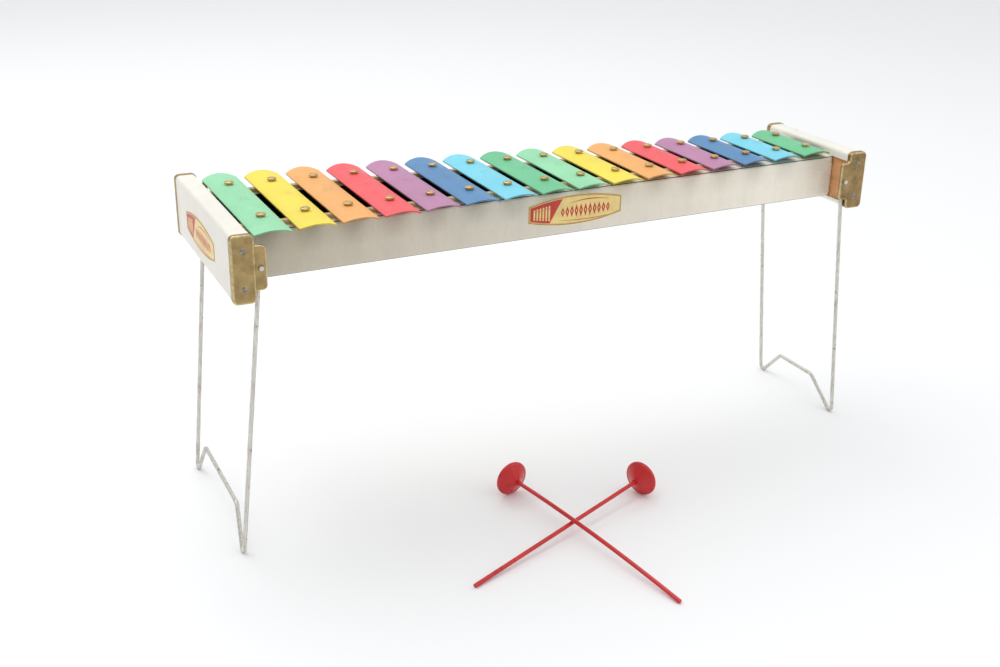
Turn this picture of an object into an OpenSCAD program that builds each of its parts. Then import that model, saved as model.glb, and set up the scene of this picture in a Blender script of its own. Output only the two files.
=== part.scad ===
// Toy xylophone: sixteen arched metal bars on a tapered sheet-metal trough, held
// between two end rails and carried by two folding wire legs, with two mallets.
// The origin is on the floor under the middle of the instrument.
// +X runs towards the short bars, -Y is the player's side, +Z is up.

/* [Overall] */
// Length over the two end rails
overall_len = 580; // [570:1:600]
// Depth of the left rail, front to back, over its caps
left_depth = 177; // [170:1:190]
// Depth of the right rail, front to back, over its caps
right_depth = 124; // [118:1:135]

/* [End rails] */
// Width of a rail along the instrument
rail_w = 16.4; // [15:0.1:20]
// Height of a rail
rail_h = 50; // [48:0.5:56]
// Radius of the rail's four long edges
rail_round = 3.5; // [3:0.1:4.5]
// Thickness of the rail's painted sheet
rail_sheet = 0.8; // [0.6:0.1:1.2]
// Height of the lip along the top of the inner side
top_lip = 8; // [7.5:0.1:9]
// Height of the lip along the bottom of the inner side
bottom_lip = 4.6; // [4.4:0.1:6]
// How far the board stands back behind the lips
core_recess = 1; // [0.5:0.1:2]

/* [Trough] */
// Half the trough's width at the left end
half_left = 56; // [52:0.5:58]
// Half the trough's width at the right end
half_right = 36.5; // [32:0.5:38]
// Thickness of the trough's sheet
trough_sheet = 0.8; // [0.6:0.1:1.2]
// Width of the flange that turns inwards at the top
flange_w = 19; // [18.5:0.5:21]
// Radius of the trough's long edges
trough_round = 3; // [2:0.5:4]
// Height of the felt strip that the bars rest on
strip_h = 3.2; // [2.5:0.1:4]
// Width of the felt strip
strip_w = 5; // [5:0.5:6]

/* [Bars] */
// Length of the first bar at its middle
long_bar = 163; // [150:1:170]
// Length of the last bar at its middle
short_bar = 86; // [80:1:92]
// Width of a bar
bar_w = 28; // [24:0.5:29]
// Distance between the middles of neighbouring bars
bar_pitch = 33.9; // [33:0.1:34]
// Gap between the left rail and the first bar
first_gap = 3.4; // [2:0.1:5]
// Thickness of a bar's sheet
bar_sheet = 1; // [0.8:0.1:1.4]
// Outer radius of a bar's arch
arch_r = 30.5; // [26:0.5:40]
// Radius of a bar's curved ends, seen from above
bar_end_r = 30; // [17:0.5:40]

/* [Bar pins] */
// Distance from the middle line to the first bar's pins
pin_half_left = 45.5; // [44:0.5:48]
// Distance from the middle line to the last bar's pins
pin_half_right = 22; // [22:0.5:25]
// Diameter of a pin's head
pin_head_d = 7.4; // [6:0.1:9]
// Diameter of a pin's thick shank
pin_shank_d = 4.6; // [4:0.1:5]
// Gap between a bar's crown and the pin's head
pin_rise = 1.2; // [1:0.1:3]

/* [Corner caps] */
// Thickness of a cap's brass-plated sheet
cap_sheet = 0.6; // [0.5:0.1:0.8]
// How far a cap's rim folds back over the rail
cap_rim = 5; // [4:0.5:7]
// Width of the cap's tab, which holds the leg
tab_w = 9; // [8.6:0.1:10]
// Height of the tab
tab_h = 33.5; // [30:0.5:36]
// How far the left tabs stand back from their caps' faces; the right ones are flush
tab_step = 1.2; // [1:0.1:2.4]
// How far the tab's rim folds back
tab_rim = 2.6; // [2.4:0.1:3.6]
// Distance between a cap's two nails
nail_pitch = 28; // [24:0.5:30]

/* [Legs] */
// Diameter of the legs' wire
wire_d = 3.4; // [3:0.1:4]
// Angle at which a leg leans outwards
leg_splay = 5.7; // [4.5:0.1:5.8]
// Distance along a leg from the pivot to the middle of the wire at the foot
leg_len = 233.1; // [200:0.1:260]
// Distance from the rail's inner side to the leg's pivot
pivot_in = 4.6; // [4.6:0.1:5]
// Depth of the pivot below the rail's top
pivot_drop = 25; // [23:0.5:26]
// How far the left leg's feet stand in from their pivots
foot_in_left = 5.5; // [0:0.5:14]
// How far the right leg's feet stand in from their pivots
foot_in_right = 0.5; // [0:0.5:14]
// Half the length of the left leg's crossbar
bar_half_left = 51; // [40:0.5:60]
// Half the length of the right leg's crossbar
bar_half_right = 24.5; // [15:0.5:35]
// Height of the left crossbar above the feet
bar_rise_left = 29; // [20:0.5:40]
// Height of the right crossbar above the feet
bar_rise_right = 26; // [20:0.5:40]
// Bend radius of a foot, at the wire's middle
foot_bend = 4; // [4:0.5:6]

/* [Mallets] */
// Length of a mallet's stick
stick_len = 200; // [180:1:210]
// Diameter of the stick
stick_d = 3.4; // [3:0.1:4]
// Diameter of the head
head_d = 29.8; // [24:0.1:32]
// Bow of the upper mallet's stick, which lies across the other
stick_bow = 3.2; // [3.2:0.1:4]

/* [Hidden] */
$fn = 64;

// Vectors and angles
function unit(v) = v / norm(v);
function heading(v) = atan2(v[1], v[0]);
function rows(i) = i < 9 ? str("bar_0", i + 1) : str("bar_", i + 1);

// Rails, measured over the sheet inside the caps
rail_out = overall_len / 2 - cap_sheet;
rail_in = rail_out - rail_w;
core_u = rail_sheet + core_recess;
core_x = rail_in + core_u;

// Bends are made a hair thicker than the straight stock that runs into them
lap = 0.3;
swell = 0.03;

// Leg wire in its own plane: [distance from the middle line, distance below the pivot]
wire_r = wire_d / 2;
foot_gap = 0.3;
elbow_r = 3.5;
pin_out = 2;
brace_bend = 6;
function turn_angle(a, b, c) = acos(unit(b - a) * unit(c - b));
function bend_centre(a, b, c, r) =
    b + unit(unit(a - b) + unit(c - b)) * r / cos(turn_angle(a, b, c) / 2);
function rail_depth(side) = side < 0 ? left_depth : right_depth;
function tab_setback(side) = side < 0 ? tab_step : 0;
function wire_y(side) =
    rail_depth(side) / 2 - tab_setback(side) - tab_rim - foot_gap - wire_r;
function top_corner(side) = [wire_y(side), 0];
function bar_corner(side) = side < 0 ? [bar_half_left, leg_len - bar_rise_left]
                                     : [bar_half_right, leg_len - bar_rise_right];
function foot_at(side, down) = [wire_y(side) - (side < 0 ? foot_in_left : foot_in_right), down];
function foot_low(side, down) =
    bend_centre(top_corner(side), foot_at(side, down), bar_corner(side), foot_bend)[1] + foot_bend;
// The foot's sharp corner is moved until the bend's lowest point is leg_len below the pivot
function foot_corner(side, down = leg_len, tries = 5) =
    tries == 0 ? foot_at(side, down)
               : foot_corner(side, down + leg_len - foot_low(side, down), tries - 1);

// Heights above the floor
pivot_z = leg_len * cos(leg_splay) + wire_r;
pivot_x = rail_in - pivot_in;
rail_top = pivot_z + pivot_drop;
rail_bottom = rail_top - rail_h;
lip_gap = 0.2;
trough_z = rail_bottom + bottom_lip + lip_gap;
trough_top = rail_top - top_lip - lip_gap;
trough_h = trough_top - trough_z;
rest_z = trough_top + strip_h;

// Trough in plan
end_sheet = 0.5;
corner_r = 3;
inner_r = corner_r - end_sheet - 0.05;
trough_x = core_x - 0.1;
taper = atan((half_left - half_right) / (2 * trough_x));
function half(x) = (half_left + half_right) / 2 - x * tan(taper);
corner_x = trough_x - corner_r;
corner_y_left = half(-corner_x) - (corner_r - end_sheet) / cos(taper);
corner_y_right = half(corner_x) - (corner_r - end_sheet) / cos(taper);
flap_long = 15;
flap_short = 8;
flap_low_h = 25;
flap_high_h = 31;

// Bars and their pins
bar_count = 16;
bar_drop = (long_bar - short_bar) / (bar_count - 1);
arch_z = rest_z - sqrt(pow(arch_r - bar_sheet, 2) - pow(bar_w / 2, 2));
crown_z = arch_z + arch_r;
bar_hole_d = pin_shank_d + 0.8;
strip_hole_d = pin_shank_d + 0.2;
tenon_d = 3;
tenon_hole_d = 3.2;
rivet_d = 5;
rivet_t = 0.7;
pin_head_t = 0.9;
pin_crown_t = 0.35;
dimple_d = 2.2;
dimple_h = 0.5;
function bar_len(i) = long_bar - i * bar_drop;
function bar_x(i) = -rail_in + first_gap + bar_w / 2 + i * bar_pitch;
pin_taper = atan((pin_half_left - pin_half_right) / (bar_pitch * (bar_count - 1)));
function pin_y(i) = pin_half_left - i * bar_pitch * tan(pin_taper);

// Caps and their fasteners
nail_d = 1.8;
nail_head_d = 4;
nail_head_t = 0.6;
nail_len = 16;
nail_dish = 0.25;
screw_d = 3;
screw_head_d = 6.5;
screw_head_t = 1.8;
screw_len = 12;
screw_y = 16;

// Labels
label_w = 88;
label_mid_h = 25;
label_end_h = 14;
label_t = 0.2;
label_x = 5;
label_rise = 2;
end_label_y = 6;

// Mallets: each lies with its head and the tail of its stick on the floor
head_r = head_d / 2;
stick_r = stick_d / 2;
hub_r = 2.6;
cone_h = 5.6;
rim_t = 4.4;
dome_h = 3.4;
mallet_tilt = asin((head_r - stick_r) / stick_len);
mallet_a_foot = [-62.4, -74.4];
mallet_a_aim = -77.7;
mallet_b_foot = [39.0, -118.8];
mallet_b_aim = -158.9;

// Rectangle with four round corners
module round_rect(w, h, r) {
    translate([r, 0]) square([w - 2 * r, h]);
    translate([0, r]) square([w, h - 2 * r]);
    for (x = [r, w - r], y = [r, h - r])
        translate([x, y]) circle(r);
}

// Stands a drawn section up and runs it along Y, centred on the middle line
module along_y(len) {
    translate([0, len / 2, 0]) rotate([90, 0, 0]) linear_extrude(len) children();
}

// Stands a drawn section up and runs it along X
module along_x(len) {
    translate([-len / 2, 0, 0]) rotate([90, 0, 90]) linear_extrude(len) children();
}

// Puts a child drawn for the right-hand end at the left-hand end too
module at_side(side) {
    if (side < 0) mirror([1, 0, 0]) children();
    else children();
}

// ---- Trough ----

// The floor's and the walls' edge in plan, with the two rounded ends
module trough_plan() {
    polygon([[-corner_x, -half(-corner_x)], [corner_x, -half(corner_x)],
             [corner_x, half(corner_x)], [-corner_x, half(-corner_x)]]);
    translate([-corner_x - inner_r, -corner_y_left]) square([2 * inner_r, 2 * corner_y_left]);
    translate([corner_x - inner_r, -corner_y_right]) square([2 * inner_r, 2 * corner_y_right]);
    for (s = [-1, 1]) {
        translate([-corner_x, s * corner_y_left]) circle(inner_r);
        translate([corner_x, s * corner_y_right]) circle(inner_r);
    }
}

// One wall with its flanges, drawn with the outer side at y = 0
module wall_section() {
    translate([-flange_w, 0]) difference() {
        round_rect(flange_w, trough_h, trough_round);
        translate([-trough_round, trough_sheet])
            round_rect(flange_w + trough_round - trough_sheet, trough_h - 2 * trough_sheet,
                       trough_round - trough_sheet);
        translate([-1, -1]) square([trough_round + 1, trough_h + 2]);
    }
}

module trough_wall() {
    translate([0, half(0), trough_z]) rotate([0, 0, -taper])
        along_x(overall_len) wall_section();
}

module pin_places() {
    for (i = [0 : bar_count - 1], s = [-1, 1])
        translate([bar_x(i), s * pin_y(i), 0]) children();
}

module screw_holes(side) {
    for (y = [-screw_y, 0, screw_y])
        translate([side * trough_x, y, trough_z + trough_h / 2]) rotate([0, 90, 0])
            cylinder(d = screw_d + 0.1, h = 4, center = true);
}

module trough() {
    color("ivory") difference() {
        intersection() {
            union() {
                trough_wall();
                mirror([0, 1, 0]) trough_wall();
                translate([0, 0, trough_z]) linear_extrude(trough_sheet)
                    polygon([[-trough_x, 8 - half_left], [trough_x, 8 - half_right],
                             [trough_x, half_right - 8], [-trough_x, half_left - 8]]);
            }
            translate([0, 0, trough_z - 1]) linear_extrude(trough_h + 2) trough_plan();
        }
        pin_places() translate([0, 0, trough_top - 2]) cylinder(d = tenon_hole_d, h = 4);
    }
}

// The end plate's edge folded round one corner and on to a stepped flap on the wall.
// The bend is a hair thicker than the flat sheet, which runs a little way into it.
module end_fold(side) {
    turn = 90 - side * taper;
    low = flap_low_h - trough_round;
    high = flap_high_h - trough_round;
    rotate_extrude(angle = turn) translate([corner_r - end_sheet - swell, 0])
        square([end_sheet + 2 * swell, high]);
    rotate([0, 0, turn - 90]) translate([0, corner_r, 0]) rotate([90, 0, 0]) linear_extrude(end_sheet)
        polygon([[lap, 0], [lap, high], [corner_r - flap_short, high], [corner_r - flap_short, low],
                 [corner_r - flap_long, low], [corner_r - flap_long, 0]]);
}

module trough_end(side, corner_y) {
    color("ivory") difference() {
        union() {
            at_side(side) translate([trough_x - end_sheet, -corner_y - lap, trough_z])
                cube([end_sheet, 2 * (corner_y + lap), trough_h]);
            for (m = [0, 1]) mirror([0, m, 0]) at_side(side)
                translate([corner_x, corner_y, trough_z + trough_round]) end_fold(side);
        }
        screw_holes(side);
    }
}

// ---- Felt strips ----

module felt_strip(s) {
    mid_x = (bar_x(0) + bar_x(bar_count - 1)) / 2;
    mid_y = (pin_half_left + pin_half_right) / 2;
    color("tan") difference() {
        intersection() {
            translate([mid_x, s * mid_y, trough_top]) rotate([0, 0, -s * pin_taper])
                translate([-overall_len / 2, -strip_w / 2, 0]) cube([overall_len, strip_w, strip_h]);
            cube([2 * rail_in - 2, left_depth, 3 * rail_top], center = true);
        }
        for (i = [0 : bar_count - 1])
            translate([bar_x(i), s * pin_y(i), trough_top - 1])
                cylinder(d = strip_hole_d, h = strip_h + 2);
    }
}

// ---- Bars ----

BAR_COLOURS = ["mediumaquamarine", "gold", "sandybrown", "tomato",
               "plum", "steelblue", "skyblue", "mediumseagreen"];

module bar_plan(len) {
    sag = bar_end_r - sqrt(pow(bar_end_r, 2) - pow(bar_w / 2, 2));
    intersection() {
        square([bar_w, len + 4], center = true);
        union() {
            square([bar_w + 2, len - 2 * sag - 8], center = true);
            for (s = [-1, 1])
                translate([0, s * (len / 2 - bar_end_r)]) circle(bar_end_r, $fn = 128);
        }
    }
}

module bar(i) {
    len = bar_len(i);
    color(BAR_COLOURS[i % 8]) difference() {
        intersection() {
            translate([bar_x(i), 0, arch_z]) along_y(len + 2) difference() {
                circle(arch_r, $fn = 256);
                circle(arch_r - bar_sheet, $fn = 256);
            }
            translate([bar_x(i), 0, arch_z + arch_r / 2]) linear_extrude(arch_r) bar_plan(len);
        }
        for (s = [-1, 1])
            translate([bar_x(i), s * pin_y(i), arch_z + arch_r / 2])
                cylinder(d = bar_hole_d, h = arch_r);
    }
}

// ---- Pins: head, thick shank on the flange, and a tenon riveted under it ----

module bar_pin() {
    head_z = crown_z + pin_rise;
    top_z = head_z + pin_head_t + pin_crown_t;
    flange_z = trough_top - trough_sheet;
    rotate_extrude($fn = 48) polygon([
        [0, flange_z - rivet_t], [rivet_d / 2, flange_z - rivet_t], [rivet_d / 2, flange_z],
        [tenon_d / 2, flange_z], [tenon_d / 2, trough_top], [pin_shank_d / 2, trough_top],
        [pin_shank_d / 2, head_z], [pin_head_d / 2, head_z], [pin_head_d / 2, head_z + pin_head_t],
        [pin_head_d / 2 - 0.8, top_z], [dimple_d / 2, top_z], [0, top_z - dimple_h]]);
}

module bar_pins(s) {
    color("goldenrod") for (i = [0 : bar_count - 1])
        translate([bar_x(i), s * pin_y(i), 0]) bar_pin();
}

// ---- End rails ----

// The rail's section: x from its inner side outwards, y up from its underside
module rail_section() {
    t = rail_sheet;
    difference() {
        round_rect(rail_w, rail_h, rail_round);
        translate([t, t]) round_rect(rail_w - 2 * t, rail_h - 2 * t, rail_round - t);
        translate([-1, bottom_lip]) square([3, rail_h - bottom_lip - top_lip]);
    }
}

module core_section() {
    t = rail_sheet;
    intersection() {
        translate([t, t]) round_rect(rail_w - 2 * t, rail_h - 2 * t, rail_round - t);
        translate([core_u, 0]) square([rail_w, rail_h]);
    }
}

module rail_cover(side) {
    color("ivory") at_side(side) translate([rail_in, 0, rail_bottom])
        along_y(rail_depth(side) - 2 * cap_sheet) rail_section();
}

module rail_core(side) {
    color("peru") difference() {
        at_side(side) translate([rail_in, 0, rail_bottom])
            along_y(rail_depth(side) - 2 * cap_sheet) core_section();
        nail_places(side) cylinder(d = nail_d, h = nail_len);
        for (y = [-screw_y, 0, screw_y])
            translate([side * (core_x - 1), y, trough_z + trough_h / 2]) rotate([0, side * 90, 0])
                cylinder(d = screw_d, h = screw_len - end_sheet + 0.9);
    }
}

// ---- Corner caps, drawn for the front of the right-hand rail ----

// Carries a child from the front right corner to any corner of the instrument
module at_corner(side, end) {
    mirror([0, end > 0 ? 1 : 0, 0]) at_side(side) children();
}

// Shallow tray whose open side faces +Y, drawn on its outline
module tray(depth) {
    rotate([90, 0, 0]) translate([0, 0, -depth]) linear_extrude(depth) children();
}

module cap_outline(grow) {
    translate([rail_in - grow, rail_bottom - grow])
        round_rect(rail_w + 2 * grow, rail_h + 2 * grow, rail_round + grow);
}

module tab_outline(shrink) {
    mid_z = rail_bottom + rail_h / 2;
    x0 = rail_in - tab_w + shrink;
    h = tab_h - 2 * shrink;
    translate([x0, mid_z - h / 2]) round_rect(tab_w + 2 * rail_round, h, rail_round - shrink);
}

// Where the nails go in: their axes run into the rail from the cap's face
module nail_places(side) {
    for (end = [-1, 1], dz = [-nail_pitch / 2, nail_pitch / 2])
        at_corner(side, end)
            translate([rail_in + rail_w / 2, cap_sheet - rail_depth(side) / 2, rail_bottom + rail_h / 2 + dz])
                rotate([-90, 0, 0]) children();
}

module corner_cap(side, end) {
    face_y = -rail_depth(side) / 2;
    color("darkgoldenrod") at_corner(side, end) difference() {
        union() {
            translate([0, face_y, 0]) difference() {
                tray(cap_rim) cap_outline(cap_sheet);
                translate([0, cap_sheet, 0]) tray(cap_rim) cap_outline(0);
            }
            translate([0, face_y + tab_setback(side), 0]) difference() {
                tray(tab_rim) tab_outline(0);
                translate([0, cap_sheet, 0]) tray(tab_rim) tab_outline(cap_sheet);
                translate([0, -1, 0]) tray(tab_rim + 2)
                    translate([rail_in - cap_sheet, 0]) square([rail_w, rail_top]);
            }
        }
        translate([pivot_x, face_y - 1, pivot_z]) rotate([-90, 0, 0])
            cylinder(r = wire_r + 0.07, h = tab_rim + 3);
        translate([rail_in + rail_w / 2, face_y - 1, rail_bottom + rail_h / 2])
            for (dz = [-nail_pitch / 2, nail_pitch / 2])
                translate([0, 0, dz]) rotate([-90, 0, 0]) cylinder(d = nail_head_d, h = 3);
    }
}

// Nails: the head lies in the cap's hole, a little below its face
module cap_nails() {
    color("silver") for (side = [-1, 1])
        nail_places(side) {
            cylinder(d = nail_d, h = nail_len);
            translate([0, 0, -nail_dish]) cylinder(d = nail_head_d, h = nail_dish);
        }
}

// Screws that hold the trough's ends to the boards, with their heads in the trough
module rail_screws() {
    color("silver") for (side = [-1, 1], y = [-screw_y, 0, screw_y])
        translate([side * (trough_x - end_sheet), y, trough_z + trough_h / 2])
            rotate([0, side * 90, 0]) {
                cylinder(d = screw_d, h = screw_len);
                translate([0, 0, -screw_head_t])
                    cylinder(d1 = screw_head_d - 2, d2 = screw_head_d, h = screw_head_t);
            }
}

// ---- Labels ----

// A long plate with curved long edges and straight short ends
module label_shape() {
    sag = (label_mid_h - label_end_h) / 2;
    r = (pow(label_w / 2, 2) + pow(sag, 2)) / (2 * sag);
    intersection() {
        square([label_w, label_mid_h], center = true);
        translate([0, label_mid_h / 2 - r]) circle(r, $fn = 360);
        translate([0, r - label_mid_h / 2]) circle(r, $fn = 360);
    }
}

module front_label() {
    color("khaki") translate([0, -half(0), trough_z + trough_h / 2]) rotate([0, 0, taper])
        translate([label_x, 0, label_rise]) rotate([90, 0, 0])
            linear_extrude(label_t) label_shape();
}

module end_label() {
    color("khaki") translate([-rail_out, end_label_y, rail_bottom + rail_h / 2 - 1.5])
        rotate([90, 0, -90]) linear_extrude(label_t) label_shape();
}

// ---- Wire legs ----

// A straight piece of wire between two points of the leg's plane. It runs on a
// little way into the bends at its ends, which are made a hair thicker.
module wire_between(a, b) {
    translate([0, a[0], -a[1]]) rotate([-90, 0, 90])
        rotate([0, 0, heading(b - a)]) rotate([0, 90, 0])
            translate([0, 0, -lap]) cylinder(r = wire_r, h = norm(b - a) + 2 * lap);
}

// A bend that rounds corner b on the way from a to c
module wire_bend(a, b, c, r) {
    turn = turn_angle(a, b, c);
    centre = bend_centre(a, b, c, r);
    mid = heading(b - centre);
    translate([0, centre[0], -centre[1]]) rotate([-90, 0, 90]) rotate([0, 0, mid - turn / 2])
        rotate_extrude(angle = turn) translate([r, 0]) circle(wire_r + swell);
}

function trim(r, a, b, c) = r * tan(turn_angle(a, b, c) / 2);

// One half of a leg, from the pin in the cap to the middle of the crossbar
module half_leg(side) {
    tip = [rail_depth(side) / 2 - tab_setback(side) + pin_out - lap, 0];
    top = top_corner(side);
    foot = foot_corner(side);
    brace = bar_corner(side);
    middle = [0, brace[1]];
    top_trim = trim(elbow_r, tip, top, foot);
    foot_trim = trim(foot_bend, top, foot, brace);
    brace_trim = trim(brace_bend, foot, brace, middle);
    wire_between(tip, top + unit(tip - top) * top_trim);
    wire_bend(tip, top, foot, elbow_r);
    wire_between(top + unit(foot - top) * top_trim, foot + unit(top - foot) * foot_trim);
    wire_bend(top, foot, brace, foot_bend);
    wire_between(foot + unit(brace - foot) * foot_trim, brace + unit(foot - brace) * brace_trim);
    wire_bend(foot, brace, middle, brace_bend);
    wire_between(brace + unit(middle - brace) * brace_trim, middle);
}

module leg(side) {
    color("lightsteelblue") translate([side * pivot_x, 0, pivot_z])
        rotate([0, -side * leg_splay, 0]) {
            half_leg(side);
            mirror([0, 1, 0]) half_leg(side);
        }
}

// ---- Mallets ----

// Places a mallet: its head's rim touches the floor at foot, its stick runs off towards aim
module lay_mallet(foot, aim) {
    translate([foot[0], foot[1], 0]) rotate([0, 0, aim]) rotate([0, 90 + mallet_tilt, 0])
        translate([-head_r, 0, 0]) children();
}

// The head, turned about the stick's axis: dome, rounded rim and a cone towards the stick
module mallet_head() {
    edge_r = rim_t / 2;
    side_r = head_r - edge_r;
    dome_r = (pow(side_r, 2) + pow(dome_h, 2)) / (2 * dome_h);
    dome = [for (i = [0 : 7]) let (a = asin(side_r / dome_r) * i / 8)
                [dome_r * sin(a), dome_r - dome_h - edge_r - dome_r * cos(a)]];
    rim = [for (i = [0 : 8]) let (a = -90 + 22.5 * i) [side_r + edge_r * cos(a), edge_r * sin(a)]];
    color("firebrick") rotate_extrude($fn = 96) polygon(concat(dome, rim, [
        [hub_r, edge_r + cone_h], [hub_r, edge_r + cone_h + 1.5], [stick_r, edge_r + cone_h + 1.5],
        [stick_r, 0], [0, 0]]));
}

// The stick, along +Z from inside the head; bowed by sag over its length
module mallet_stick(sag) {
    color("firebrick")
        if (sag == 0) cylinder(r = stick_r, h = stick_len);
        else {
            bow_r = (pow(stick_len / 2, 2) + pow(sag, 2)) / (2 * sag);
            sweep = 2 * asin(stick_len / 2 / bow_r);
            translate([bow_r - sag, 0, stick_len / 2]) rotate([90, 0, 0])
                rotate([0, 0, 180 - sweep / 2])
                    rotate_extrude(angle = sweep, $fn = 2400) translate([bow_r, 0]) circle(stick_r);
        }
}

// ---- Assembly ----

trough();
trough_end(-1, corner_y_left);  // trough_end_left
trough_end(1, corner_y_right);  // trough_end_right
felt_strip(-1);  // front_felt_strip
felt_strip(1);  // rear_felt_strip
for (i = [0 : bar_count - 1])
    bar(i);
bar_pins(-1);  // front_pins
bar_pins(1);  // rear_pins
rail_cover(-1);  // rail_cover_left
rail_cover(1);  // rail_cover_right
rail_core(-1);  // rail_core_left
rail_core(1);  // rail_core_right
corner_cap(-1, -1);  // cap_front_left
corner_cap(-1, 1);  // cap_rear_left
corner_cap(1, -1);  // cap_front_right
corner_cap(1, 1);  // cap_rear_right
cap_nails();
rail_screws();
front_label();
end_label();
leg(-1);  // leg_left
leg(1);  // leg_right
lay_mallet(mallet_a_foot, mallet_a_aim) mallet_head();  // mallet_a_head
lay_mallet(mallet_a_foot, mallet_a_aim) mallet_stick(stick_bow);  // mallet_a_stick
lay_mallet(mallet_b_foot, mallet_b_aim) mallet_head();  // mallet_b_head
lay_mallet(mallet_b_foot, mallet_b_aim) mallet_stick(0);  // mallet_b_stick
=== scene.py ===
"""The toy xylophone's look: paint, brass, wire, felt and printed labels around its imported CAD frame."""

import math

import bmesh
import bpy
from mathutils import Matrix, Vector


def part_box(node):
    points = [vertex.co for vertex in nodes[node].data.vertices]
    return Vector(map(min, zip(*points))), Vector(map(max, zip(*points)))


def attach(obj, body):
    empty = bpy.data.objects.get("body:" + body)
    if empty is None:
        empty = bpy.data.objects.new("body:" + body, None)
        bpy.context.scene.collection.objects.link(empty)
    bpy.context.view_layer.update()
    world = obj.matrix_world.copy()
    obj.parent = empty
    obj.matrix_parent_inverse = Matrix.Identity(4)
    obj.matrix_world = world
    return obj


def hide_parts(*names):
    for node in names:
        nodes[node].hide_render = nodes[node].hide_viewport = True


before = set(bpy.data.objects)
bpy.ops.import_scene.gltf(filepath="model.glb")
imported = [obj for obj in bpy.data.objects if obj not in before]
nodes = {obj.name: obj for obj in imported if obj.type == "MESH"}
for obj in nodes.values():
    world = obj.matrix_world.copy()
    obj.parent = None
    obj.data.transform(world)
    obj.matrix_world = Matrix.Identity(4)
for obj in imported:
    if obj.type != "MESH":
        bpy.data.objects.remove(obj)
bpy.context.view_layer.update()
scene = bpy.context.scene

# Lengths whose comments say mm are in millimetres; everything else is in metres.
MM = 0.001


# ---------------------------------------------------------------- sizes

# The trough, as in the CAD: its half widths at its two ends and the x of those ends, all in mm.
HALF_LEFT = 56.0
HALF_RIGHT = 36.5
TROUGH_X = 274.7
HALF_MIDDLE = (HALF_LEFT + HALF_RIGHT) / 2
TAPER = math.atan((HALF_LEFT - HALF_RIGHT) / (2 * TROUGH_X))
trough_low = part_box("trough")[0][2]
trough_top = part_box("trough")[1][2]

# The end rails, in mm, with x measured outwards from the trough's middle.
rail_corner_low, rail_corner_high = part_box("rail_cover_left")
rail_in = -rail_corner_high[0] / MM
rail_out = -rail_corner_low[0] / MM
rail_low = rail_corner_low[2] / MM
rail_high = rail_corner_high[2] / MM
rail_x = (rail_in + rail_out) / 2
rail_middle = (rail_low + rail_high) / 2

# The row of bars.
BARS = 16
first_bar_low, first_bar_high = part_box("bar_01")
first_bar_x = (first_bar_low[0] + first_bar_high[0]) / 2
BAR_PITCH = (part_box("bar_16")[0][0] - first_bar_low[0]) / (BARS - 1)

# The corner caps, in mm.
SHEET = 0.6
plate_in, plate_out = rail_in - SHEET, rail_out + SHEET
plate_low, plate_high = rail_low - SHEET, rail_high + SHEET
PLATE_CORNER = 4.1
PLATE_RIM = 5.0
TAB_REACH = 9.0
TAB_HALF = 16.75
TAB_CORNER = 3.5
TAB_RIM = 2.6
TAB_STEP = 1.2
PIVOT_REACH = 4.6
NAIL_HALF_PITCH = 14
ARC_STEPS = 12

# The labels, in mm: both have the same curved outline.
LABEL_W = 88.0
LABEL_MID = 25.0
LABEL_END = 14.0
LABEL_PAPER = 0.1


# ---------------------------------------------------------------- camera

def make_camera():
    """A camera to the left of the xylophone, in front of it and above it."""
    yaw, pitch, roll = math.radians(25.88), math.radians(22.39), math.radians(1.10)
    forward = Vector((math.sin(yaw) * math.cos(pitch), math.cos(yaw) * math.cos(pitch), -math.sin(pitch)))
    level = Vector((math.cos(yaw), -math.sin(yaw), 0))
    above = level.cross(forward)
    right = math.cos(roll) * level + math.sin(roll) * above
    up = -math.sin(roll) * level + math.cos(roll) * above
    data = bpy.data.cameras.new("camera")
    data.sensor_width = 36
    data.lens = 45.86
    data.clip_start = 0.02
    data.clip_end = 50
    camera = bpy.data.objects.new("camera", data)
    turn = Matrix((right, up, -forward)).transposed().to_4x4()
    camera.matrix_world = Matrix.Translation((-0.4846, -0.9188, 0.5346)) @ turn
    scene.collection.objects.link(camera)
    scene.camera = camera


make_camera()


# ---------------------------------------------------------------- material helpers

def srgb(r, g, b):
    """A colour given as 0-255 display values, as linear RGBA."""
    def linear(c):
        c /= 255
        return c / 12.92 if c <= 0.04045 else ((c + 0.055) / 1.055) ** 2.4
    return (linear(r), linear(g), linear(b), 1)


def shade(colour, k):
    """The colour made darker, or lighter where k is over 1."""
    return tuple(c * k for c in colour[:3]) + (1,)


def lighten(colour, k, lift=0.0):
    """The colour made lighter, kept within what a surface can reflect."""
    return tuple(min(1, c * k + lift) for c in colour[:3]) + (1,)


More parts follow.
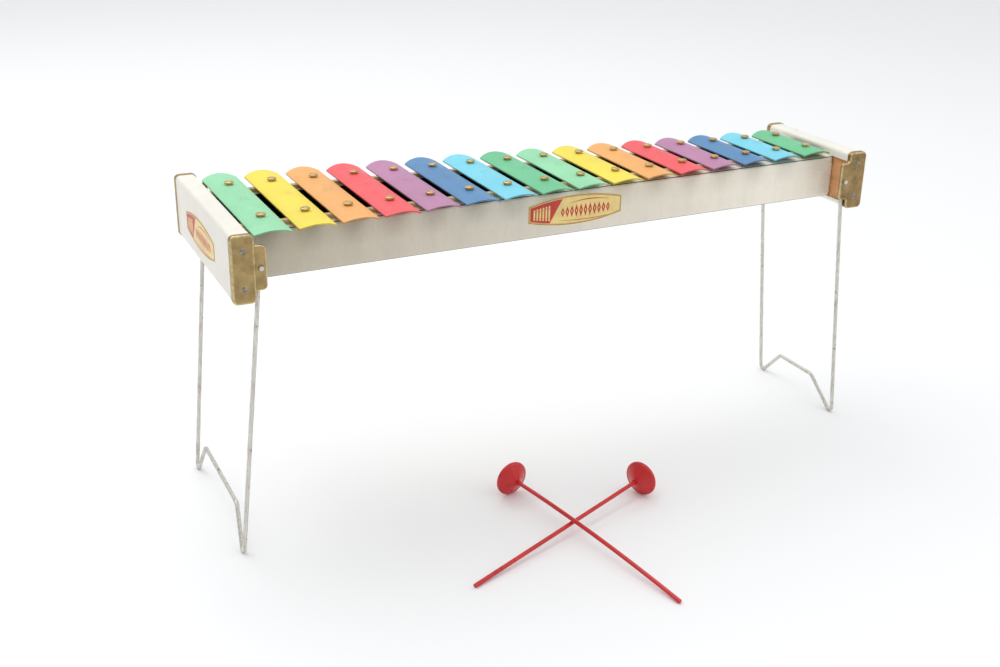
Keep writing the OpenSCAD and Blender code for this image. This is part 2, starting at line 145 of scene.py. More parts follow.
class Mat:
    """A material being built: a Principled shader and short calls that add nodes to it."""

    def __init__(self, name, base, rough=0.5, metal=0.0, **sockets):
        self.mat = bpy.data.materials.new(name)
        self.mat.use_nodes = True
        self.tree = self.mat.node_tree
        self.shader = self.tree.nodes["Principled BSDF"]
        self.shader.inputs["Base Color"].default_value = base
        self.shader.inputs["Roughness"].default_value = rough
        self.shader.inputs["Metallic"].default_value = metal
        for key, value in sockets.items():
            self.shader.inputs[key.replace("_", " ")].default_value = value
        self.coords = self.node("ShaderNodeTexCoord").outputs["Object"]

    def node(self, kind, **props):
        made = self.tree.nodes.new(kind)
        for key, value in props.items():
            setattr(made, key, value)
        return made

    def link(self, source, target):
        self.tree.links.new(source, target)

    def feed(self, target, value):
        """Puts a number, a colour or another node's output into an input."""
        if isinstance(value, (int, float, tuple)):
            target.default_value = value
        else:
            self.link(value, target)

    def set(self, socket, value):
        """Feeds one of the shader's own inputs."""
        self.feed(self.shader.inputs[socket], value)

    def place(self):
        """The x, y and z of the point on the surface."""
        made = self.node("ShaderNodeSeparateXYZ")
        self.link(self.coords, made.inputs[0])
        return made.outputs

    def facing(self):
        """The x, y and z of the direction that the surface faces."""
        made = self.node("ShaderNodeSeparateXYZ")
        self.link(self.node("ShaderNodeTexCoord").outputs["Normal"], made.inputs[0])
        return made.outputs

    def scaled(self, sx, sy, sz):
        """Coordinates for a pattern that is drawn out along the axes with the small factors."""
        mapping = self.node("ShaderNodeMapping")
        mapping.inputs["Scale"].default_value = (sx, sy, sz)
        self.link(self.coords, mapping.inputs["Vector"])
        return mapping.outputs["Vector"]

    def noise(self, scale, detail, rough, seed, vector=None):
        made = self.node("ShaderNodeTexNoise", noise_dimensions="4D")
        made.inputs["W"].default_value = seed
        made.inputs["Scale"].default_value = scale
        made.inputs["Detail"].default_value = detail
        made.inputs["Roughness"].default_value = rough
        self.link(vector or self.coords, made.inputs["Vector"])
        return made.outputs["Fac"]

    def ramp(self, value, low, high, out_low=0.0, out_high=1.0):
        """Maps low to high onto out_low to out_high, and holds those values outside."""
        made = self.node("ShaderNodeMapRange")
        made.clamp = True
        self.feed(made.inputs["Value"], value)
        made.inputs["From Min"].default_value = low
        made.inputs["From Max"].default_value = high
        made.inputs["To Min"].default_value = out_low
        made.inputs["To Max"].default_value = out_high
        return made.outputs["Result"]

    def calc(self, operation, a, b=0.0, c=0.0):
        made = self.node("ShaderNodeMath", operation=operation)
        self.feed(made.inputs[0], a)
        self.feed(made.inputs[1], b)
        self.feed(made.inputs[2], c)
        return made.outputs[0]

    def product(self, a, b):
        return self.calc("MULTIPLY", a, b)

    def blend(self, factor, a, b, how="MIX"):
        made = self.node("ShaderNodeMix", data_type="RGBA", blend_type=how)
        self.feed(made.inputs[0], factor)
        self.feed(made.inputs[6], a)
        self.feed(made.inputs[7], b)
        return made.outputs[2]

    def tinted(self, body, tint):
        """The body's colour multiplied by a tint."""
        return self.blend(1.0, body, tint, "MULTIPLY")

    def layer(self, body, over, pattern, low, high, amount=1.0):
        """Lays a colour over the body, more and more as the pattern rises from low to high."""
        return self.blend(self.ramp(pattern, low, high, 0, amount), body, over)

    def bump(self, height, strength, distance):
        made = self.node("ShaderNodeBump")
        made.inputs["Strength"].default_value = strength
        made.inputs["Distance"].default_value = distance
        self.link(height, made.inputs["Height"])
        self.link(made.outputs["Normal"], self.shader.inputs["Normal"])


# ---------------------------------------------------------------- materials
# A noise call holds its scale, detail, roughness and seed.

# The patch at a bar's middle that holds the faint strokes, in mm: its y, half sizes and soft edge.
MARK_Y = 4.0
MARK_HALF_X = 3.5
MARK_HALF_Y = 4.5
MARK_FADE = 2.0

# Tints that multiply the trough's white: painted shade towards its low bars' end, painted light towards its
# high bars' end, and a painted shadow under the bars.
LEFT_END_SHADE = (0.74, 0.73, 0.70, 1)
RIGHT_END_LIGHT = (1.24, 1.26, 1.30, 1)
BAR_SHADOW = (0.58, 0.56, 0.52, 1)


def faint_strokes(m, seed):
    """1 on a few strokes that form no letter, in a small patch at the middle of each bar."""
    x, y, _ = m.place()
    from_bar = m.calc("WRAP", m.calc("SUBTRACT", x, first_bar_x), -0.5 * BAR_PITCH, 0.5 * BAR_PITCH)
    across = m.calc("ABSOLUTE", from_bar)
    along = m.calc("ABSOLUTE", m.calc("SUBTRACT", y, MARK_Y * MM))
    patch = m.product(m.ramp(across, MARK_HALF_X * MM, (MARK_HALF_X + MARK_FADE) * MM, 1, 0),
                      m.ramp(along, MARK_HALF_Y * MM, (MARK_HALF_Y + MARK_FADE) * MM, 1, 0))
    strokes = m.node("ShaderNodeTexWave", wave_type="RINGS", rings_direction="Z")
    settings = {"Scale": 95.0, "Distortion": 9.0, "Detail": 1.0, "Detail Scale": 2.2, "Phase Offset": seed}
    for socket, value in settings.items():
        strokes.inputs[socket].default_value = value
    m.link(m.coords, strokes.inputs["Vector"])
    return m.product(patch, m.ramp(strokes.outputs["Fac"], 0.72, 0.92))


def paint(name, colour, seed):
    """Sprayed enamel on sheet: orange peel, uneven gloss, handling marks, dark specks and bare cut edges."""
    m = Mat(name, colour, 0.42, Coat_Weight=0.10, Coat_Roughness=0.28)
    body = m.layer(colour, shade(colour, 0.90), m.noise(22, 4, 0.62, seed), 0.36, 0.68)
    haze = m.noise(70, 5, 0.7, seed + 5, vector=m.scaled(1.0, 0.35, 1.0))
    body = m.layer(body, lighten(colour, 1.10, 0.015), haze, 0.56, 0.72, 0.7)
    body = m.layer(body, shade(colour, 0.42), m.noise(420, 2, 0.5, seed + 3), 0.735, 0.80, 0.5)
    stamped = faint_strokes(m, seed)
    body = m.blend(m.product(stamped, 0.38), body, shade(colour, 0.42))
    sideways = m.ramp(m.facing()[2], 0.35, 0.80, 1, 0)
    chipped = m.ramp(m.noise(160, 3, 0.6, seed + 4), 0.35, 0.6, 0.45, 0.9)
    body = m.blend(m.product(sideways, chipped), body, m.blend(0.62, colour, srgb(96, 84, 62)))
    m.set("Base Color", body)
    m.set("Roughness", m.ramp(m.noise(60, 3, 0.6, seed + 1), 0.3, 0.7, 0.34, 0.54))
    peel = m.product(m.noise(900, 2, 0.5, seed + 2), 0.4)
    m.bump(m.calc("SUBTRACT", peel, stamped), 0.35, 0.0002)
    return m.mat


def trough_inside(m):
    """1 on the inner faces of the trough, 0 on its outer faces and on the tops of its flanges."""
    x, y, z = m.place()
    wall = m.calc("SUBTRACT", (HALF_MIDDLE - SHEET) * MM, m.product(x, math.tan(TAPER)))
    within = m.calc("SUBTRACT", wall, m.calc("ABSOLUTE", y))
    below = m.calc("SUBTRACT", trough_top - 0.4 * MM, z)
    above = m.calc("SUBTRACT", z, trough_low + 0.4 * MM)
    room = m.calc("MINIMUM", m.calc("MINIMUM", within, below), above)
    return m.ramp(room, 0.0, 0.2 * MM)


def trough_painted_light(m, body, seed):
    """Painted light and shade on the trough: painted shade towards the low bars' end and painted light
    towards the other, a painted shadow under each bar, and a dark inside that is partly bare steel and partly
    painted shade.
    """
    x, _, z = m.place()
    # Painted shade towards the low bars' end, and painted light towards the high bars' end.
    body = m.blend(m.ramp(x, -0.27, 0.20), m.tinted(body, LEFT_END_SHADE), m.tinted(body, RIGHT_END_LIGHT))
    # Painted shadow of the bars: a band along the top of the walls that is darkest under each bar and
    # stronger towards the low bars' end.
    phase = m.product(m.calc("SUBTRACT", x, first_bar_x), math.tau / BAR_PITCH)
    under_bars = m.calc("ADD", 0.62, m.product(m.calc("COSINE", phase), 0.38))
    bar_shadow_mask = m.product(m.ramp(z, trough_top - 21 * MM, trough_top - 4 * MM), under_bars)
    bar_shadow_mask = m.product(bar_shadow_mask, m.ramp(x, -0.27, 0.25, 0.85, 0.45))
    bar_shadow_mask = m.product(bar_shadow_mask, m.ramp(m.noise(45, 3, 0.6, seed + 8), 0.3, 0.6, 0.55, 1))
    body = m.blend(bar_shadow_mask, body, m.tinted(body, BAR_SHADOW))
    # The inside's dark colour: partly bare steel, partly painted shade.
    dark = m.layer(srgb(58, 50, 42), srgb(34, 30, 27), m.noise(60, 4, 0.6, seed + 5), 0.3, 0.7)
    return m.blend(trough_inside(m), body, dark)


def enamel(name, colour, seed, painted_light=None):
    """Old white enamel: yellowed clouds, vertical wipe marks, grey smudges and rust specks."""
    m = Mat(name, colour, 0.40, Coat_Weight=0.08, Coat_Roughness=0.3)
    body = m.layer(colour, shade(colour, 0.91), m.noise(9, 4, 0.6, seed), 0.35, 0.68)
    wipes = m.noise(60, 4, 0.6, seed + 1, vector=m.scaled(1.0, 1.0, 0.16))
    body = m.layer(body, shade(colour, 0.85), wipes, 0.45, 0.72, 0.55)
    smudges = m.noise(520, 3, 0.7, seed + 2, vector=m.scaled(1.0, 1.0, 0.3))
    body = m.layer(body, shade(colour, 0.74), smudges, 0.52, 0.75, 0.35)
    body = m.layer(body, srgb(120, 98, 72), m.noise(150, 2, 0.5, seed + 3), 0.745, 0.785, 0.8)
    body = m.layer(body, srgb(104, 92, 78), m.noise(700, 1, 0.5, seed + 4), 0.76, 0.80, 0.7)
    # The trough's painted light and shade is laid on here.
    if painted_light:
        body = painted_light(m, body, seed)
    m.set("Base Color", body)
    m.set("Roughness", m.ramp(m.noise(40, 4, 0.6, seed + 6), 0.3, 0.7, 0.32, 0.55))
    m.bump(m.noise(650, 3, 0.6, seed + 7), 0.16, 0.0003)
    return m.mat


def brass(name, colour, rough, seed, tarnish, wear_and_highlight=False):
    """Tarnished brass: brown clouds, pale rubbed patches and dark pits; pale edges that are partly rubbed
    brass and partly a painted highlight.
    """
    m = Mat(name, colour, rough, 0.85)
    body = m.layer(colour, shade(colour, 0.52), m.noise(110, 5, 0.65, seed), 0.40, 0.66, tarnish)
    body = m.layer(body, lighten(colour, 1.35), m.noise(34, 3, 0.6, seed + 1), 0.48, 0.70, 0.6)
    body = m.layer(body, srgb(66, 50, 30), m.noise(900, 3, 0.6, seed + 2), 0.66, 0.76, 0.75)
    gloss = m.ramp(m.noise(200, 4, 0.6, seed + 3), 0.35, 0.65, rough - 0.08, rough + 0.16)
    if wear_and_highlight:
        # Painted highlight, partly rubbed brass: pale brass on the rounded edges, strongest midway round
        # them.
        edges = m.node("ShaderNodeAttribute", attribute_name="wear_and_highlight").outputs["Fac"]
        bright = m.product(edges, m.ramp(m.noise(260, 3, 0.6, seed + 4), 0.34, 0.56, 0.35, 1))
        body = m.blend(m.product(bright, 0.7), body, srgb(228, 206, 154))
        gloss = m.calc("SUBTRACT", gloss, m.product(bright, 0.14))
    m.set("Base Color", body)
    m.set("Roughness", gloss)
    m.bump(m.noise(1400, 3, 0.6, seed + 5), 0.22, 0.00015)
    return m.mat


def steel_wire():
    """Drawn steel: dull zinc grey with a fine lengthwise grain, brown blooms of rust and dark spots."""
    m = Mat("leg_wire", srgb(206, 204, 196), 0.36, 0.5)
    drawn = m.noise(1500, 2, 0.5, 41, vector=m.scaled(1, 1, 0.03))
    body = m.layer(srgb(226, 224, 216), srgb(192, 188, 180), drawn, 0.35, 0.65)
    bloom = m.ramp(m.noise(75, 4, 0.7, 42), 0.54, 0.68, 0, 0.6)
    body = m.blend(bloom, body, srgb(178, 158, 130))
    spots = m.ramp(m.noise(330, 3, 0.6, 43), 0.62, 0.70, 0, 0.8)
    body = m.blend(spots, body, srgb(62, 50, 38))
    m.set("Base Color", body)
    m.set("Metallic", m.ramp(bloom, 0, 0.6, 0.55, 0.25))
    m.set("Roughness", m.calc("ADD", 0.30, m.product(m.calc("MAXIMUM", bloom, spots), 0.4)))
    m.bump(m.noise(1100, 3, 0.6, 44), 0.25, 0.0002)
    return m.mat


def felt():
    """Pressed tan felt: short crossed fibres, fluff and darker grime."""
    m = Mat("strip_felt", srgb(196, 168, 118), 0.95, Sheen_Weight=0.35)
    lengthwise = m.noise(1300, 3, 0.7, 51, vector=m.scaled(0.35, 1, 1))
    crosswise = m.noise(1300, 3, 0.7, 52, vector=m.scaled(1, 0.35, 1))
    body = m.layer(srgb(206, 180, 130), srgb(158, 128, 82), lengthwise, 0.35, 0.65)
    body = m.layer(body, srgb(226, 208, 168), crosswise, 0.5, 0.7, 0.6)
    body = m.layer(body, srgb(122, 96, 62), m.noise(60, 3, 0.6, 53), 0.5, 0.72, 0.6)
    m.set("Base Color", body)
    m.bump(m.calc("ADD", lengthwise, crosswise), 0.8, 0.0006)
    return m.mat


def board():
    """Raw fibre board: brown, with short pressed fibres along the rail, rubbed spots and dark flecks."""
    m = Mat("core_board", srgb(204, 150, 100), 0.85)
    fibre = m.noise(300, 5, 0.7, 61, vector=m.scaled(1, 0.12, 1))
    body = m.layer(srgb(244, 180, 122), srgb(196, 138, 86), fibre, 0.32, 0.68)
    body = m.layer(body, srgb(250, 198, 146), m.noise(30, 3, 0.6, 62), 0.45, 0.72, 0.5)
    body = m.layer(body, srgb(86, 60, 38), m.noise(800, 2, 0.6, 63), 0.64, 0.74, 0.7)
    m.set("Base Color", body)
    m.bump(fibre, 0.5, 0.0004)
    return m.mat


def steel_head():
    """Dull nail and screw heads, dark in the scratches."""
    m = Mat("nail_steel", srgb(150, 148, 142), 0.42, 0.9)
    dirt = m.noise(700, 4, 0.7, 71)
    m.set("Base Color", m.layer(srgb(168, 166, 160), srgb(84, 78, 70), dirt, 0.42, 0.62))
    m.set("Roughness", m.ramp(dirt, 0.4, 0.6, 0.34, 0.62))
    m.bump(dirt, 0.3, 0.0003)
    return m.mat


def foil(name, colour, seed, metal, rough):
    """Printed foil paper: faint crackle, rubbed spots and a soft sheen."""
    m = Mat(name, colour, rough, metal)
    body = m.layer(colour, shade(colour, 0.84), m.noise(90, 4, 0.6, seed), 0.38, 0.66)
    body = m.layer(body, shade(colour, 0.55), m.noise(500, 3, 0.6, seed + 1), 0.62, 0.74, 0.55)
    m.set("Base Color", body)
    m.bump(m.noise(240, 4, 0.6, seed + 2), 0.18, 0.0003)
    return m.mat


def lacquer():
    """Red lacquer on the mallets: thick, glossy, a little uneven, with pale knocks."""
    base = srgb(208, 27, 31)
    m = Mat("mallet_red", base, 0.34, Coat_Weight=0.15, Coat_Roughness=0.15)
    body = m.layer(base, shade(base, 0.80), m.noise(45, 4, 0.6, 81), 0.36, 0.68)
    body = m.layer(body, srgb(228, 120, 112), m.noise(380, 2, 0.5, 82), 0.73, 0.79, 0.6)
    m.set("Base Color", body)
    m.set("Roughness", m.ramp(m.noise(80, 3, 0.6, 83), 0.3, 0.7, 0.24, 0.40))
    m.bump(m.noise(500, 2, 0.5, 84), 0.12, 0.0003)
    return m.mat


# ---------------------------------------------------------------- materials onto the CAD nodes

def assign(node, mat):
    data = nodes[node].data
    data.materials.clear()
    data.materials.append(mat)


# The bars repeat these eight colours, from the longest bar to the shortest.
BAR_PAINT = {
    "light_green": srgb(151, 224, 174),
    "yellow": srgb(249, 226, 68),
    "orange": srgb(248, 178, 97),
    "red": srgb(247, 86, 92),
    "purple": srgb(190, 130, 169),
    "dark_blue": srgb(82, 138, 188),
    "light_blue": srgb(122, 217, 238),
    "green": srgb(106, 200, 146),
}
bar_mats = [paint("bar_" + name, colour, 7.3 * i) for i, (name, colour) in enumerate(BAR_PAINT.items())]
for i in range(BARS):
    assign(f"bar_{i + 1:02d}", bar_mats[i % len(bar_mats)])

cap_brass = brass("cap_brass", srgb(174, 149, 102), 0.38, 90, tarnish=0.75, wear_and_highlight=True)
dark_brass = brass("cap_brass_dark", srgb(158, 132, 90), 0.36, 92, tarnish=0.9, wear_and_highlight=True)
label_gold = foil("label_gold", srgb(245, 219, 143), 100, metal=0.25, rough=0.36)
label_red = foil("label_red", srgb(204, 62, 54), 104, metal=0.1, rough=0.42)
label_dark = foil("label_dark", srgb(92, 66, 48), 108, metal=0.1, rough=0.5)

NODE_LOOKS = (
    (enamel("rail_enamel", srgb(248, 243, 232), 20), ("rail_cover_left", "rail_cover_right")),
    # The trough's white is the rails' enamel made a little warmer and darker, the darkening being painted
    # shade for its shaded walls.
    (enamel("trough_enamel_shaded", srgb(232, 224, 206), 30, trough_painted_light), ("trough",)),
    (enamel("end_enamel", srgb(246, 240, 228), 35), ("trough_end_left", "trough_end_right")),
    (brass("pin_brass", srgb(206, 176, 118), 0.34, 95, tarnish=0.5), ("front_pins", "rear_pins")),
    (felt(), ("front_felt_strip", "rear_felt_strip")),
    (board(), ("rail_core_left", "rail_core_right")),
    (steel_wire(), ("leg_left", "leg_right")),
    (steel_head(), ("cap_nails", "rail_screws")),
    (lacquer(), ("mallet_a_head", "mallet_a_stick", "mallet_b_head", "mallet_b_stick")),
    (label_gold, ("front_label", "end_label")),
)
for look, names in NODE_LOOKS:
    for name in names:
        assign(name, look)


# ---------------------------------------------------------------- mesh helpers

def new_piece(name, bm):
    """Turns a finished bmesh into an object in the scene."""
    bmesh.ops.recalc_face_normals(bm, faces=bm.faces)
    mesh = bpy.data.meshes.new(name)
    bm.to_mesh(mesh)
    bm.free()
    piece = bpy.data.objects.new(name, mesh)
    scene.collection.objects.link(piece)
    return piece


def arc(cx, cz, r, start, stop, steps):
    """Points on a circle from one angle to another, in degrees, both ends included."""
    angles = [math.radians(start + (stop - start) * i / steps) for i in range(steps + 1)]
    return [(cx + r * math.cos(a), cz + r * math.sin(a)) for a in angles]


def smooth(mesh, degrees):
    """Shades the mesh smooth, but keeps edges that turn more sharply than this crisp."""
    mesh.shade_smooth()
    mesh.set_sharp_from_angle(angle=math.radians(degrees))


def lathe(name, profile, centre, sign, steps=32):
    """A closed turned solid along y; profile holds (radius, depth) pairs and all is in mm."""
    bm = bmesh.new()
    cx, cy, cz = centre

    def ring(r, y):
        if r == 0:
            return [bm.verts.new((cx * MM, y * MM, cz * MM))]
        turns = [math.tau * i / steps for i in range(steps)]
        return [bm.verts.new(((cx + r * math.cos(a)) * MM, y * MM, (cz + r * math.sin(a)) * MM))
                for a in turns]

    rings = [ring(r, cy + sign * depth) for r, depth in profile]
    for a, b in zip(rings, rings[1:]):
        for i in range(steps):
            j = (i + 1) % steps
            if len(a) == 1:
                bm.faces.new((a[0], b[j], b[i]))
            elif len(b) == 1:
                bm.faces.new((a[i], a[j], b[0]))
            else:
                bm.faces.new((a[i], a[j], b[j], b[i]))
    return new_piece(name, bm)


def bake_cuts(piece, cutters):
    """Cuts each solid out of the piece, then deletes the solids."""
    for cutter in cutters:
        mod = piece.modifiers.new("cut", "BOOLEAN")
        mod.operation = "DIFFERENCE"
        mod.solver = "EXACT"
        mod.object = cutter
    graph = bpy.context.evaluated_depsgraph_get()
    mesh = bpy.data.meshes.new_from_object(piece.evaluated_get(graph))
    piece.modifiers.clear()
    piece.data = mesh
    for cutter in cutters:
        bpy.data.objects.remove(cutter, do_unlink=True)


def add_mesh(piece, other):
    """Moves the other object's mesh into the piece."""
    both = bmesh.new()
    both.from_mesh(piece.data)
    both.from_mesh(other.data)
    both.to_mesh(piece.data)
    both.free()
    bpy.data.objects.remove(other, do_unlink=True)


# ---------------------------------------------------------------- stamped corner caps
# Outlines are anticlockwise in mm, with x outwards from the trough's middle and z up.

def rounded_box(x0, x1, z0, z1, inner, outer):
    """A box whose inner and outer corners each have a (radius, steps) of their own."""
    r, steps = outer
    outer_side = arc(x1 - r, z0 + r, r, -90, 0, steps) + arc(x1 - r, z1 - r, r, 0, 90, steps)
    r, steps = inner
    return outer_side + arc(x0 + r, z1 - r, r, 90, 180, steps) + arc(x0 + r, z0 + r, r, 180, 270, steps)


def plate_outline():
    """The plate over the rail's end."""
    corner = (PLATE_CORNER, ARC_STEPS)
    return rounded_box(plate_in, plate_out, plate_low, plate_high, corner, corner)


def tab_outline():
    """The tab alone; its outer end is hidden inside the plate's rim."""
    overlap, hidden_corner = 1.2, (1, 4)
    return rounded_box(rail_in - TAB_REACH, rail_in + overlap, rail_middle - TAB_HALF, rail_middle + TAB_HALF,
                       (TAB_CORNER, ARC_STEPS), hidden_corner)


def flush_outline():
    """Plate and tab in one flat piece, joined by two small hollow curves."""
    r, soft, hollow, hollow_steps = PLATE_CORNER, TAB_CORNER, 2.4, 8
    tab_in, tab_low, tab_high = rail_in - TAB_REACH, rail_middle - TAB_HALF, rail_middle + TAB_HALF
    return (arc(plate_out - r, plate_low + r, r, -90, 0, ARC_STEPS)
            + arc(plate_out - r, plate_high - r, r, 0, 90, ARC_STEPS)
            + arc(plate_in + r, plate_high - r, r, 90, 180, ARC_STEPS)
            + arc(plate_in - hollow, tab_high + hollow, hollow, 0, -90, hollow_steps)
            + arc(tab_in + soft, tab_high - soft, soft, 90, 180, ARC_STEPS)
            + arc(tab_in + soft, tab_low + soft, soft, 180, 270, ARC_STEPS)
            + arc(plate_in - hollow, tab_low - hollow, hollow, 90, 0, hollow_steps)
            + arc(plate_in + r, plate_low + r, r, 180, 270, ARC_STEPS))


def inward(outline):
    """Unit vectors that point into an anticlockwise outline at each of its points."""
    out = []
    for i in range(len(outline)):
        before, after = Vector(outline[i - 1]), Vector(outline[(i + 1) % len(outline)])
        along = (after - before).normalized()
        out.append(Vector((-along.y, along.x)))
    return out


def stamp(bm, wear_and_highlight, outline, start, rim, fillet, place):
    """Adds one closed pressed sheet: a face at depth start, a rounded edge and a rim that folds back.

    rim gives the rim's depth at an x, and the vertex layer is high midway round the rounded edge, where a
    painted highlight that is partly rubbed brass goes.
    """
    clean = [p for i, p in enumerate(outline) if (Vector(p) - Vector(outline[i - 1])).length > 1e-4]
    into = inward(clean)

    def ring(inset, depth, mark):
        """A loop of points; a depth of None is the rim's back edge."""
        made = []
        for p, n in zip(clean, into):
            q = Vector(p) + inset * n
            back = rim(q.x) if depth is None else depth
            vert = bm.verts.new(place(q.x, start + back, q.y))
            vert[wear_and_highlight] = mark
            made.append(vert)
        return made

    def edge_ring(radius, base, angle, mark):
        """A loop on a rounded edge that starts at depth and inset base."""
        return ring(base + radius * (1 - math.cos(angle)), base + radius * (1 - math.sin(angle)), mark)

    steps = 6
    angles = [math.radians(90 * k / steps) for k in range(steps + 1)]
    # How strongly the painted highlight, partly rubbed brass, shows: some on the rim's back edge, a little
    # next to it, most midway round the rounded edge, and none on the flat face or the inside.
    dull, rim_mark = 0.1, 0.25
    outside = [ring(0, None, rim_mark), ring(0, fillet * 1.4, dull)]
    for k, angle in enumerate(angles):
        mark = math.sin(2 * angle) ** 0.5 if 0 < k < steps else 0.0
        outside.append(edge_ring(fillet, 0, angle, max(dull, mark)))
    face = ring(fillet + 0.5, 0, 0)
    outside.append(face)
    inner_fillet = max(fillet - SHEET, 0.15)
    inside = [edge_ring(inner_fillet, SHEET, angle, 0) for angle in reversed(angles)]
    inside.append(ring(SHEET, None, rim_mark))
    bm.faces.new(face)
    bm.faces.new(inside[0])
    for chain in (outside, inside, [inside[-1], outside[0]]):
        for low, high in zip(chain, chain[1:]):
            for i in range(len(low)):
                j = (i + 1) % len(low)
                bm.faces.new((low[i], low[j], high[j], high[i]))


# Cutters for a nail's dished place and for the hole of a leg's pin, as (radius, depth) in mm.
NAIL_DISH = ((0, -1), (3.7, -1), (3.45, -0.02), (3.25, 0.03), (2.9, 0.12), (2.45, 0.30), (2.1, 0.42),
             (2.0, 0.9), (0, 0.9))
PIN_HOLE = ((0, -1), (2.15, -1), (2.1, 0.0), (1.85, 0.16), (1.8, 4), (0, 4))


def flush_rim(x):
    """The rim's depth on a flush cap, which falls off smoothly from the plate to the tab."""
    t = min(1, max(0, (x - rail_in + 1.6) / 1.4))
    return TAB_RIM + (PLATE_RIM - TAB_RIM) * t * t * (3 - 2 * t)


def corner_cap(node, side, end):
    """A stamped cap for one corner; the tabs are stepped on the left and flush on the right."""
    low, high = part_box(node)
    face = (low[1] if end < 0 else high[1]) / MM
    inwards = -end
    stepped = side < 0

    def place(x, depth, z):
        return (side * x * MM, (face + inwards * depth) * MM, z * MM)

    def pressed(outline, start, rim, fillet, cutters):
        """One sheet piece, with its own cuts made in it."""
        bm = bmesh.new()
        wear_and_highlight = bm.verts.layers.float.new("wear_and_highlight")
        stamp(bm, wear_and_highlight, outline, start, rim, fillet, place)
        made = new_piece(node + "_stamped", bm)
        bake_cuts(made, cutters)
        return made

    start = TAB_STEP if stepped else 0
    dishes = [lathe("dish", NAIL_DISH, (side * rail_x, face, rail_middle + s * NAIL_HALF_PITCH), inwards)
              for s in (-1, 1)]
    pivot = (side * (rail_in - PIVOT_REACH), face + inwards * start, rail_middle)
    hole = lathe("hole", PIN_HOLE, pivot, inwards)
    if stepped:
        piece = pressed(plate_outline(), 0, lambda x: PLATE_RIM, 1.7, dishes)
        add_mesh(piece, pressed(tab_outline(), start, lambda x: TAB_RIM, 1.2, [hole]))
    else:
        piece = pressed(flush_outline(), 0, flush_rim, 1.5, dishes + [hole])
    smooth(piece.data, 32)
    piece.data.materials.clear()
    piece.data.materials.append(cap_brass if stepped else dark_brass)
    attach(piece, "frame")
    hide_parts(node)


for node, side, end in (("cap_front_left", -1, -1), ("cap_rear_left", -1, 1),
                        ("cap_front_right", 1, -1), ("cap_rear_right", 1, 1)):
    corner_cap(node, side, end)


# ---------------------------------------------------------------- label printing
# u runs along a label and v up it, both in mm from its middle.

def label_half(u, inset):
    """Half the label's height at u, that far inside its edge."""
    sag = (LABEL_MID - LABEL_END) / 2
    r = ((LABEL_W / 2) ** 2 + sag ** 2) / (2 * sag)
    return math.sqrt((r - inset) ** 2 - u * u) + LABEL_MID / 2 - r


def spaced(first, last, steps):
    return [first + (last - first) * i / steps for i in range(steps + 1)]


def band(bottom, top, inset):
    """The region inside the label's edge, over the given places along its bottom and its top."""
    return [(u, -label_half(u, inset)) for u in bottom] + [(u, label_half(u, inset)) for u in reversed(top)]


def frame_line(inset, width):
    """A closed thin line along the label's edge, as quads."""
    edge = LABEL_W / 2 - inset
    outer_us, inner_us = spaced(-edge, edge, 40), spaced(-edge + width, edge - width, 40)
    outer = band(outer_us, outer_us, inset)
    inner = band(inner_us, inner_us, inset + width)
    count = len(outer)
    return [[outer[i], outer[(i + 1) % count], inner[(i + 1) % count], inner[i]] for i in range(count)]


def lozenge(u, v, w, h):
    return [(u - w, v), (u, v - h), (u + w, v), (u, v + h)]


def rounded_bar(u, v, w, h):
    """An upright bar with round ends, from half its width and height."""
    r = w * 0.98
    return arc(u, v + h - r, r, 0, 180, 8) + arc(u, v - h + r, r, 180, 360, 8)


def ruled_curve(u0, u1, v, bend, width):
    """A thin curved rule that swells in its middle."""
    low, high = [], []
    for t in spaced(0, 1, 24):
        u = u0 + (u1 - u0) * t
        middle = v + bend * 4 * t * (1 - t)
        half = width * (0.25 + 0.75 * math.sin(math.pi * t))
        low.append((u, middle - half))
        high.append((u, middle + half))
    return low + high[::-1]


def printing(name, outlines, low, high, mat, place):
    """Thin raised ink on a label: each outline is a closed slab between two heights above the paper."""
    bm = bmesh.new()
    for outline in outlines:
        bottom = [bm.verts.new(place(u, v, low)) for u, v in outline]
        top = [bm.verts.new(place(u, v, high)) for u, v in outline]
        bm.faces.new(top)
        bm.faces.new(bottom[::-1])
        for i in range(len(outline)):
            j = (i + 1) % len(outline)
            bm.faces.new((bottom[i], bottom[j], top[j], top[i]))
    piece = new_piece(name, bm)
    piece.data.materials.append(mat)
    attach(piece, "frame")


def red_corner():
    """The red block on the label's left, with a slanting right side."""
    inset = 1.9
    left = inset - LABEL_W / 2
    return band(spaced(left, -24.0, 16), spaced(left, -12.5, 24), inset)


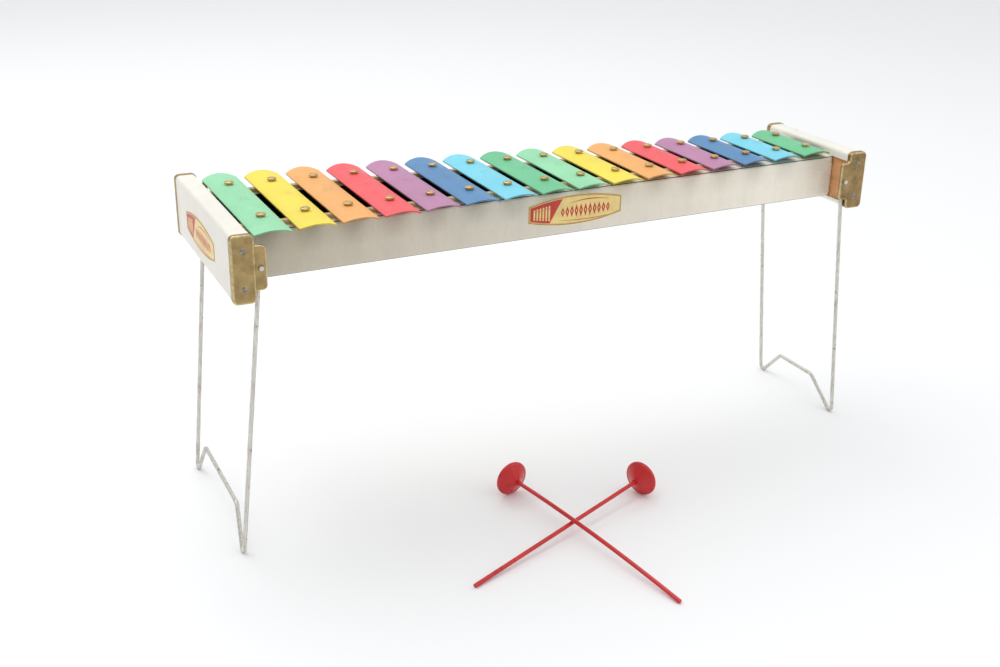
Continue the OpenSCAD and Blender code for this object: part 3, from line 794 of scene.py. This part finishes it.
def print_label(prefix, place):
    """A made-up design: a red corner with graduated keys, a row of lozenges and two swelling rules."""
    ink = 0.04
    printing(prefix + "_outline", frame_line(0.45, 0.4), 0.0, ink, label_dark, place)
    printing(prefix + "_border", frame_line(1.25, 0.28), 0.0, ink, label_red, place)
    printing(prefix + "_corner", [red_corner()], 0.0, ink, label_red, place)

    key_places = [(k, -38.4 + 2.75 * k) for k in range(6)]
    key_v = -0.6
    keys = [rounded_bar(u, key_v, 0.78, 4.4 + 0.42 * k) for k, u in key_places]
    studs = [lozenge(u, s * (2.6 + 0.3 * k) + key_v, 0.3, 0.42) for k, u in key_places for s in (-1, 1)]
    printing(prefix + "_keys", keys, ink, 0.07, label_gold, place)
    printing(prefix + "_studs", studs, 0.07, 0.09, label_dark, place)

    count, row_v = 11, -1.2
    row = [(k, -12 + 4.3 * k) for k in range(count)]
    tall = [3.9 + 1.9 * math.sin(math.pi * (k + 0.5) / count) for k in range(count)]
    lozenges = [lozenge(u, row_v, 1.75, tall[k]) for k, u in row]
    hearts = [lozenge(u, row_v, 0.5, 1.5) for _, u in row]
    printing(prefix + "_lozenges", lozenges, 0.0, ink, label_red, place)
    printing(prefix + "_hearts", hearts, ink, 0.06, label_gold, place)

    rules = [ruled_curve(-6, 31, 5.6, 2.0, 0.42), ruled_curve(-14, 34, -8.0, -1.1, 0.3)]
    printing(prefix + "_rules", rules, 0.0, ink, label_red, place)


def box_middle(node):
    low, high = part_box(node)
    return [(a + b) / 2 for a, b in zip(low, high)]


def front_place(u, v, height):
    """A point over the front label, which lies on the tapered wall."""
    x, y, z = box_middle("front_label")
    c, s = math.cos(TAPER), math.sin(TAPER)
    out = LABEL_PAPER + height
    return (x + (u * c + out * s) * MM, y + (u * s - out * c) * MM, z + v * MM)


def end_place(u, v, height):
    """A point over the label on the left rail."""
    x, y, z = box_middle("end_label")
    return (x - (LABEL_PAPER + height) * MM, y - u * MM, z + v * MM)


print_label("front_print", front_place)
print_label("end_print", end_place)


# ---------------------------------------------------------------- floor and light

def make_floor():
    bpy.ops.mesh.primitive_plane_add(size=40, location=(0, 0, 0))
    floor = bpy.context.object
    floor.name = "floor"
    floor.data.materials.append(Mat("floor_white", (0.93, 0.93, 0.935, 1), 0.55).mat)


def make_world():
    """A bright ceiling that falls off towards the horizon and the left, with a light band low down."""
    world = bpy.data.worlds.new("studio")
    scene.world = world
    world.use_nodes = True
    tree = world.node_tree
    background = tree.nodes["Background"]
    background.inputs["Color"].default_value = (0.97, 0.985, 1.0, 1)
    axes = tree.nodes.new("ShaderNodeSeparateXYZ")
    tree.links.new(tree.nodes.new("ShaderNodeTexCoord").outputs["Generated"], axes.inputs[0])

    def graded(value, low, high, out_low, out_high):
        made = tree.nodes.new("ShaderNodeMapRange")
        made.inputs["From Min"].default_value = low
        made.inputs["From Max"].default_value = high
        made.inputs["To Min"].default_value = out_low
        made.inputs["To Max"].default_value = out_high
        tree.links.new(value, made.inputs["Value"])
        return made.outputs["Result"]

    def added(a, b):
        made = tree.nodes.new("ShaderNodeMath")
        made.operation = "ADD"
        tree.links.new(a, made.inputs[0])
        tree.links.new(b, made.inputs[1])
        return made.outputs[0]

    ceiling = graded(axes.outputs[2], 0.05, 0.8, 0.32, 0.975)
    sideways = graded(axes.outputs[0], -0.8, 0.8, -0.10, 0.14)
    low_band = graded(axes.outputs[2], 0.07, 0.11, 0.50, 0.0)
    tree.links.new(added(added(ceiling, sideways), low_band), background.inputs["Strength"])


def area_light(name, spot, aim, size, power):
    data = bpy.data.lights.new(name, "AREA")
    data.shape = "RECTANGLE"
    data.size, data.size_y = size
    data.energy = power
    lamp = bpy.data.objects.new(name, data)
    lamp.location = spot
    lamp.rotation_euler = (Vector(aim) - Vector(spot)).to_track_quat("-Z", "Y").to_euler()
    scene.collection.objects.link(lamp)


make_floor()
make_world()
area_light("key", (-0.6, 1.0, 2.3), (0, 0, 0.2), (2.4, 2.0), 27)
area_light("fill", (1.5, -1.3, 0.9), (0.2, 0, 0.2), (1.0, 0.8), 2)
scene.view_settings.view_transform = "Standard"
